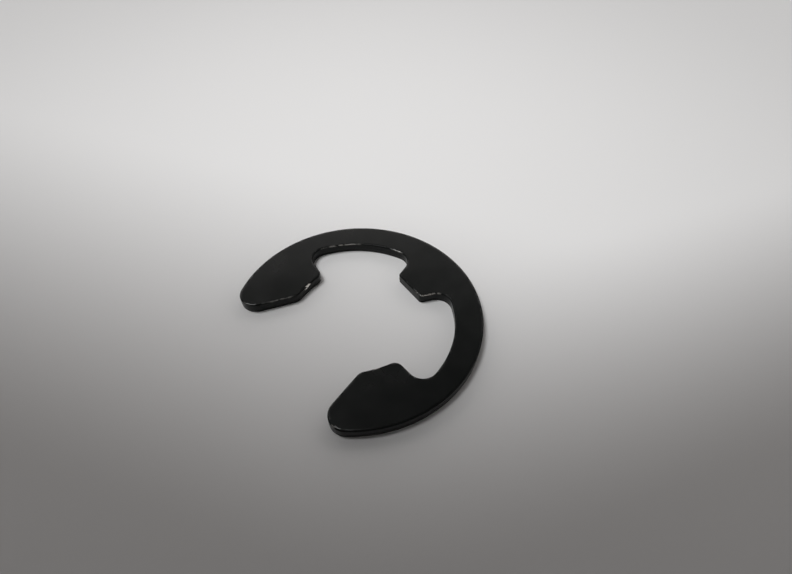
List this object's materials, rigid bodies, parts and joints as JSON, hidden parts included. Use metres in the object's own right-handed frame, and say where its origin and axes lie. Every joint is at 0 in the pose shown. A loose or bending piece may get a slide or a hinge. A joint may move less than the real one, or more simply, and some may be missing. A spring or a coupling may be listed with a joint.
{
  "type": "e-clip",
  "caption": "Flat stamped spring-steel retaining clip: an open ring with a mouth, a middle prong and a leg at each side that snap into a shaft groove.",
  "frame": {"origin": "on the axis of the shaft that the clip holds, level with the clip's underside", "axes": "+Z along the shaft's axis, up through the clip's thickness; -Y out through the mouth; X across, from leg to leg"},
  "size_m": [0.023, 0.0192, 0.001],
  "materials": {
    "spring_steel": "black phosphate and oil over hardened spring steel, satin"
  },
  "bodies": {
    "root": {"e_clip": "spring_steel"}
  },
  "joints": []
}
